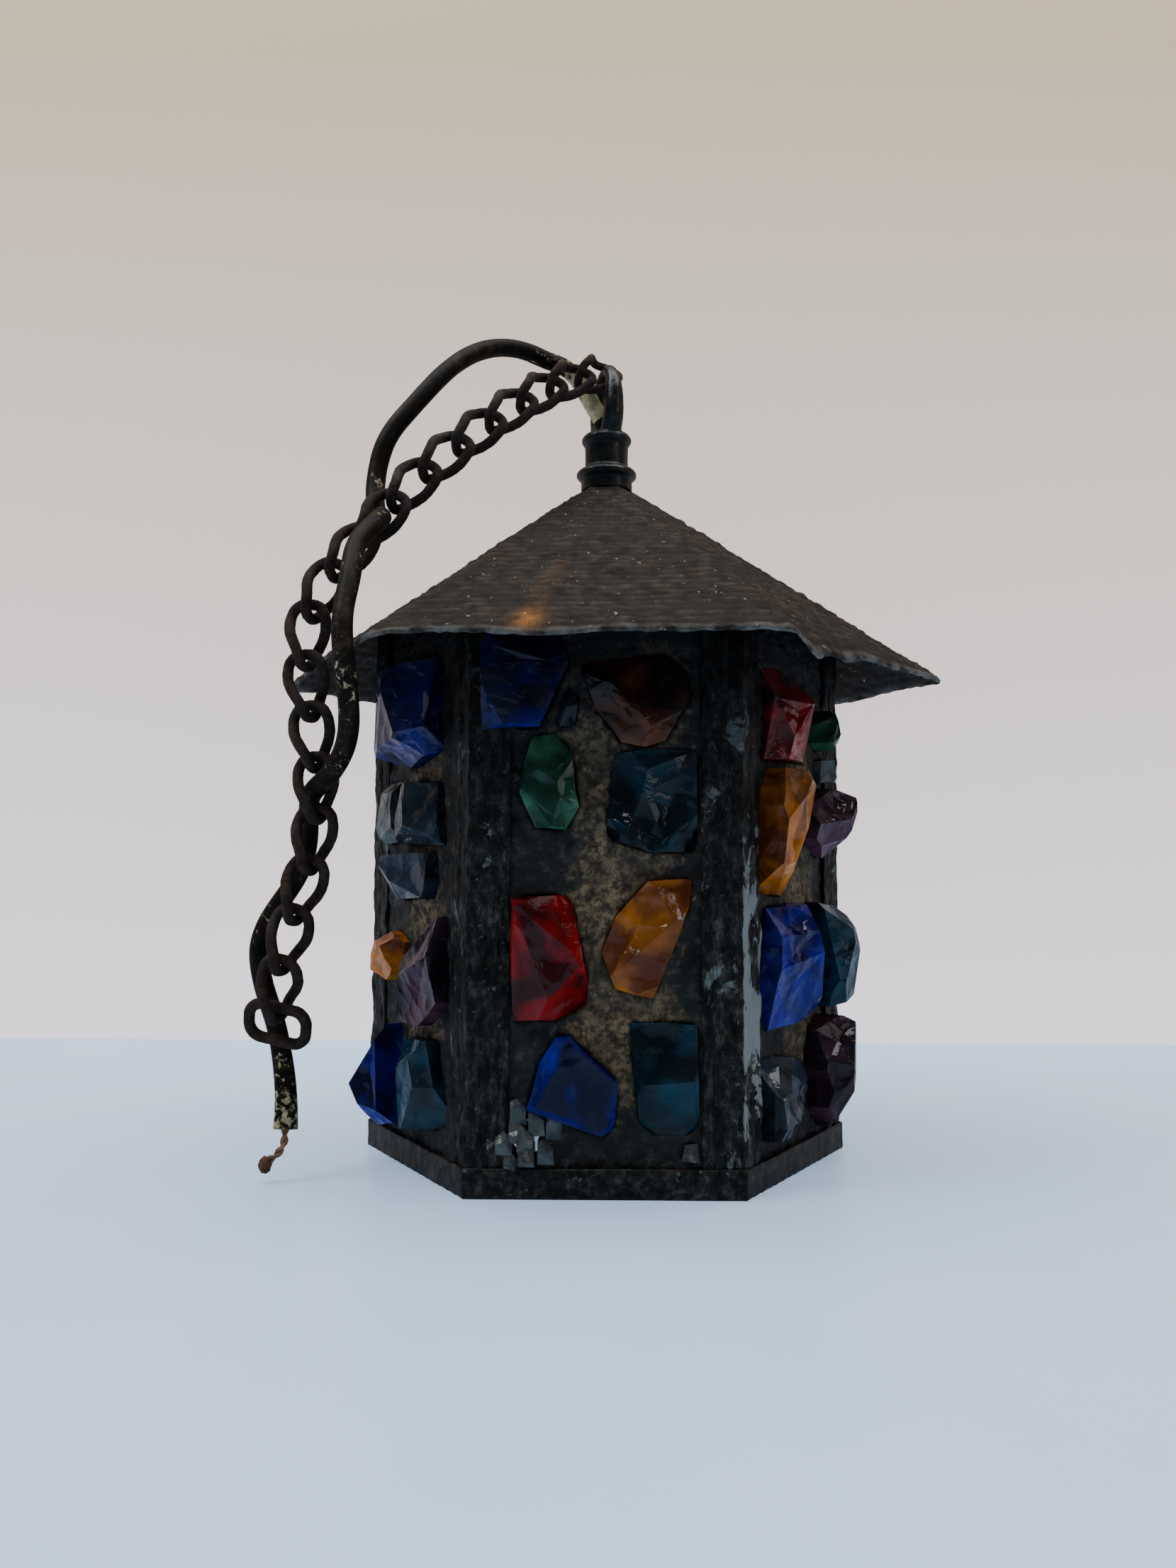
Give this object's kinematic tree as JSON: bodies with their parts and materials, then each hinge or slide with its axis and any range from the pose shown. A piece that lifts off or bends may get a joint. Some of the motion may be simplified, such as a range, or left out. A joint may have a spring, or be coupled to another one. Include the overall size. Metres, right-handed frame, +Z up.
{
  "type": "hanging lantern",
  "caption": "Six-sided hanging lantern: coloured glass chunks in mortar panels, sheet-metal posts and roof, lamp holder inside, on a curb chain with the flex threaded through it.",
  "frame": {"origin": "centre of the base hexagon, on the plane the lantern stands on", "axes": "+Z up along the lantern's axis, -Y towards the front panel"},
  "size_m": [0.226, 0.2046, 0.2729],
  "materials": {
    "painted_post": "worn satin black-green paint, flaked grey",
    "painted_band": "worn gloss black-green paint",
    "rim_plate": "dull black paint",
    "roof_sheet": "weathered embossed sheet, grey-brown with rust",
    "finial_iron": "glossy black-green paint over cast iron",
    "chain_iron": "rusty, matte dark brown",
    "mortar": "rough sandy mortar",
    "cobalt_glass": "knapped, glossy",
    "orange_glass": "knapped, glossy",
    "smoke_glass": "knapped, glossy",
    "green_glass": "knapped, glossy",
    "teal_glass": "knapped, glossy",
    "red_glass": "knapped, glossy",
    "amber_glass": "knapped, glossy",
    "clear_glass": "knapped, glossy",
    "purple_glass": "knapped, glossy",
    "zinc_steel": "dull zinc plate",
    "brass_parts": "dull brass",
    "bakelite": "black-brown moulded plastic",
    "ceramic": "white glazed ceramic",
    "bulb_clear": "clear blown glass",
    "cord_sheath": "black paint flaking from cream flex",
    "cord_core": "twisted insulated cores with copper at the cut"
  },
  "bodies": {
    "lantern": {"base_rim": "painted_band", "top_rim": "rim_plate", "corner_post_1": "painted_post", "corner_post_2": "painted_post", "corner_post_3": "painted_post", "corner_post_4": "painted_post", "corner_post_5": "painted_post", "corner_post_6": "painted_post", "panel_front": "mortar", "panel_front_right": "mortar", "panel_back_right": "mortar", "panel_back": "mortar", "panel_back_left": "mortar", "panel_front_left": "mortar", "glass_cobalt": "cobalt_glass", "glass_orange": "orange_glass", "glass_smoke": "smoke_glass", "glass_green": "green_glass", "glass_teal": "teal_glass", "glass_red": "red_glass", "glass_amber": "amber_glass", "glass_clear": "clear_glass", "glass_purple": "purple_glass", "roof": "roof_sheet", "loop_finial": "finial_iron", "threaded_tube": "zinc_steel", "bridge_bar": "zinc_steel", "bar_washer": "zinc_steel", "tube_nuts": "zinc_steel", "bridge_screws": "zinc_steel", "bridge_nuts": "zinc_steel", "holder_cap": "bakelite", "holder_shell": "bakelite", "holder_insert": "ceramic", "contact_springs": "brass_parts", "lamp_wires": "cord_core", "bulb_cap": "brass_parts", "bulb_glass": "bulb_clear", "cord_sheath": "cord_sheath", "cord_core": "cord_core"},
    "link_01": {"chain_link_01": "chain_iron"},
    "link_02": {"chain_link_02": "chain_iron"},
    "link_03": {"chain_link_03": "chain_iron"},
    "link_04": {"chain_link_04": "chain_iron"},
    "link_05": {"chain_link_05": "chain_iron"},
    "link_06": {"chain_link_06": "chain_iron"},
    "link_07": {"chain_link_07": "chain_iron"},
    "link_08": {"chain_link_08": "chain_iron"},
    "link_09": {"chain_link_09": "chain_iron"},
    "link_10": {"chain_link_10": "chain_iron"},
    "link_11": {"chain_link_11": "chain_iron"},
    "link_12": {"chain_link_12": "chain_iron"},
    "link_13": {"chain_link_13": "chain_iron"},
    "link_14": {"chain_link_14": "chain_iron"},
    "link_15": {"chain_link_15": "chain_iron"},
    "link_16": {"chain_link_16": "chain_iron"},
    "link_17": {"chain_link_17": "chain_iron"},
    "link_18": {"chain_link_18": "chain_iron"},
    "end_link": {"chain_end_link": "chain_iron"}
  },
  "joints": [
    {"name": "chain_on_eye", "type": "hinge", "parent": "lantern", "child": "link_01", "pos_m": [-0.0003, 0.001, 0.265], "axis": [-0.309, 0.9511, 0], "range_deg": [0, 20], "deforming": ["cord_sheath", "cord_core"]},
    {"name": "link_01_to_02", "type": "hinge", "parent": "link_01", "child": "link_02", "pos_m": [-0.00932, -0.00939, 0.25985], "axis": [-0.2949, 0.6174, -0.7293], "range_deg": [0, 8], "deforming": ["cord_sheath", "cord_core"]},
    {"name": "link_02_to_03", "type": "hinge", "parent": "link_02", "child": "link_03", "pos_m": [-0.01871, -0.01873, 0.25274], "axis": [-0.2044, 0.7144, -0.6692], "range_deg": [0, 8], "deforming": ["cord_sheath", "cord_core"]},
    {"name": "link_03_to_04", "type": "hinge", "parent": "link_03", "child": "link_04", "pos_m": [-0.02812, -0.0268, 0.24421], "axis": [-0.1264, 0.7867, -0.6043], "range_deg": [0, 8], "deforming": ["cord_sheath", "cord_core"]},
    {"name": "link_04_to_05", "type": "hinge", "parent": "link_04", "child": "link_05", "pos_m": [-0.03763, -0.03375, 0.23486], "axis": [-0.0686, 0.8326, -0.5497], "range_deg": [0, 8], "deforming": ["cord_sheath", "cord_core"]},
    {"name": "link_05_to_06", "type": "hinge", "parent": "link_05", "child": "link_06", "pos_m": [-0.04736, -0.03983, 0.22512], "axis": [-0.0275, 0.8604, -0.5089], "range_deg": [0, 8], "deforming": ["cord_sheath", "cord_core"]},
    {"name": "link_06_to_07", "type": "hinge", "parent": "link_06", "child": "link_07", "pos_m": [-0.05687, -0.04516, 0.21475], "axis": [0.0131, 0.8844, -0.4665], "range_deg": [0, 8], "deforming": ["cord_sheath", "cord_core"]},
    {"name": "link_07_to_08", "type": "hinge", "parent": "link_07", "child": "link_08", "pos_m": [-0.06566, -0.04986, 0.20348], "axis": [0.0529, 0.9063, -0.4194], "range_deg": [0, 8], "deforming": ["cord_sheath", "cord_core"]},
    {"name": "link_08_to_09", "type": "hinge", "parent": "link_08", "child": "link_09", "pos_m": [-0.07399, -0.05423, 0.19173], "axis": [0.0728, 0.9168, -0.3927], "range_deg": [0, 8], "deforming": ["cord_sheath", "cord_core"]},
    {"name": "link_09_to_10", "type": "hinge", "parent": "link_09", "child": "link_10", "pos_m": [-0.082, -0.05844, 0.17971], "axis": [0.0829, 0.9221, -0.3779], "range_deg": [0, 8], "deforming": ["cord_sheath", "cord_core"]},
    {"name": "link_10_to_11", "type": "hinge", "parent": "link_10", "child": "link_11", "pos_m": [-0.08774, -0.06138, 0.16619], "axis": [0.1422, 0.9529, -0.2678], "range_deg": [0, 8], "deforming": ["cord_sheath", "cord_core"]},
    {"name": "link_11_to_12", "type": "hinge", "parent": "link_11", "child": "link_12", "pos_m": [-0.08851, -0.06158, 0.15124], "axis": [0.1982, 0.9799, -0.0232], "range_deg": [-3, 8], "deforming": ["cord_sheath", "cord_core"]},
    {"name": "link_12_to_13", "type": "hinge", "parent": "link_12", "child": "link_13", "pos_m": [-0.08676, -0.06066, 0.13632], "axis": [0.1947, 0.9774, 0.0827], "range_deg": [-3, 8], "deforming": ["cord_sheath", "cord_core"]},
    {"name": "link_13_to_14", "type": "hinge", "parent": "link_13", "child": "link_14", "pos_m": [-0.08511, -0.06004, 0.12138], "axis": [0.197, 0.9784, 0.0627], "range_deg": [-3, 8], "deforming": ["cord_sheath", "cord_core"]},
    {"name": "link_14_to_15", "type": "hinge", "parent": "link_14", "child": "link_15", "pos_m": [-0.08472, -0.05981, 0.10634], "axis": [0.1999, 0.9796, 0.0198], "range_deg": [-3, 8], "deforming": ["cord_sheath", "cord_core"]},
    {"name": "link_15_to_16", "type": "hinge", "parent": "link_15", "child": "link_16", "pos_m": [-0.08675, -0.06035, 0.09147], "axis": [0.1954, 0.9788, -0.0618], "range_deg": [-3, 8], "deforming": ["cord_sheath", "cord_core"]},
    {"name": "link_16_to_17", "type": "hinge", "parent": "link_16", "child": "link_17", "pos_m": [-0.09072, -0.061, 0.07697], "axis": [0.1886, 0.9774, -0.0955], "range_deg": [-3, 8], "deforming": ["cord_sheath", "cord_core"]},
    {"name": "link_17_to_18", "type": "hinge", "parent": "link_17", "child": "link_18", "pos_m": [-0.0944, -0.05986, 0.06245], "axis": [0.2192, 0.9755, 0.0208], "range_deg": [-3, 8], "deforming": ["cord_sheath", "cord_core"]},
    {"name": "link_18_to_end", "type": "hinge", "parent": "link_18", "child": "end_link", "pos_m": [-0.096, -0.05554, 0.04818], "axis": [0.2618, 0.9314, 0.253], "range_deg": [-3, 8], "deforming": ["cord_sheath", "cord_core"]}
  ]
}
